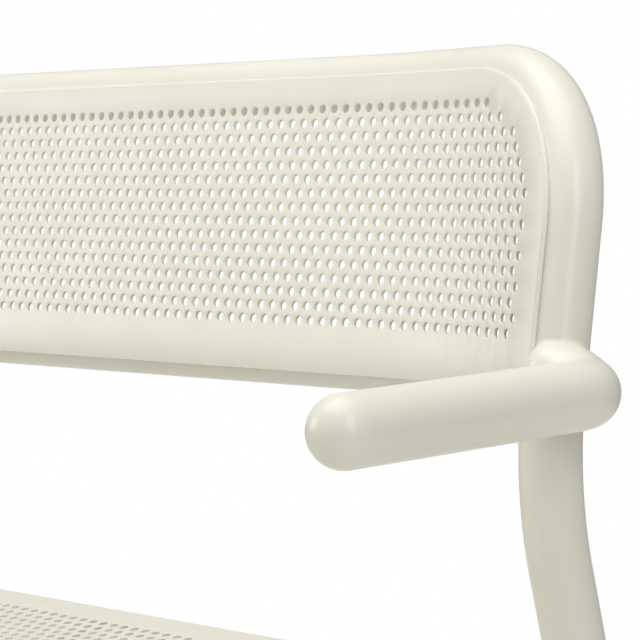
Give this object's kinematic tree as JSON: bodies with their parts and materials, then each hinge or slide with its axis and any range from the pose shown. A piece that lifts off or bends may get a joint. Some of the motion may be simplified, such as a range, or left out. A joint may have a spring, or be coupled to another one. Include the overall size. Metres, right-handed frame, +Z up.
{
  "type": "garden bench",
  "caption": "Two-seat outdoor bench: thick round tube frame, perforated sheet seat and wrap-round back, stubby round arms fixed only at the rear.",
  "frame": {"origin": "on the floor, at the middle of the bench's footprint", "axes": "+X along the bench to the right of someone facing it, +Y from the front to the back, +Z up"},
  "size_m": [1.232, 0.6333, 0.8413],
  "materials": {
    "powder_coat": "satin off-white powder coat on round tube",
    "powder_coat_sheet": "satin off-white powder coat on perforated sheet",
    "glide_plastic": "fine matt moulded plastic"
  },
  "bodies": {
    "root": {"back_rail_top": "powder_coat", "back_rail_low": "powder_coat", "back_panel": "powder_coat_sheet", "seat_rail_front": "powder_coat", "seat_rail_rear": "powder_coat", "seat_rail_left": "powder_coat", "seat_rail_right": "powder_coat", "seat_brace_left": "powder_coat", "seat_brace_right": "powder_coat", "seat_panel": "powder_coat_sheet", "rear_leg_left": "powder_coat", "rear_leg_right": "powder_coat", "front_leg_left": "powder_coat", "front_leg_right": "powder_coat", "arm_left": "powder_coat", "arm_right": "powder_coat", "arm_cap_left": "powder_coat", "arm_cap_right": "powder_coat", "glide_rear_left": "glide_plastic", "glide_rear_right": "glide_plastic", "glide_front_left": "glide_plastic", "glide_front_right": "glide_plastic"}
  },
  "joints": []
}
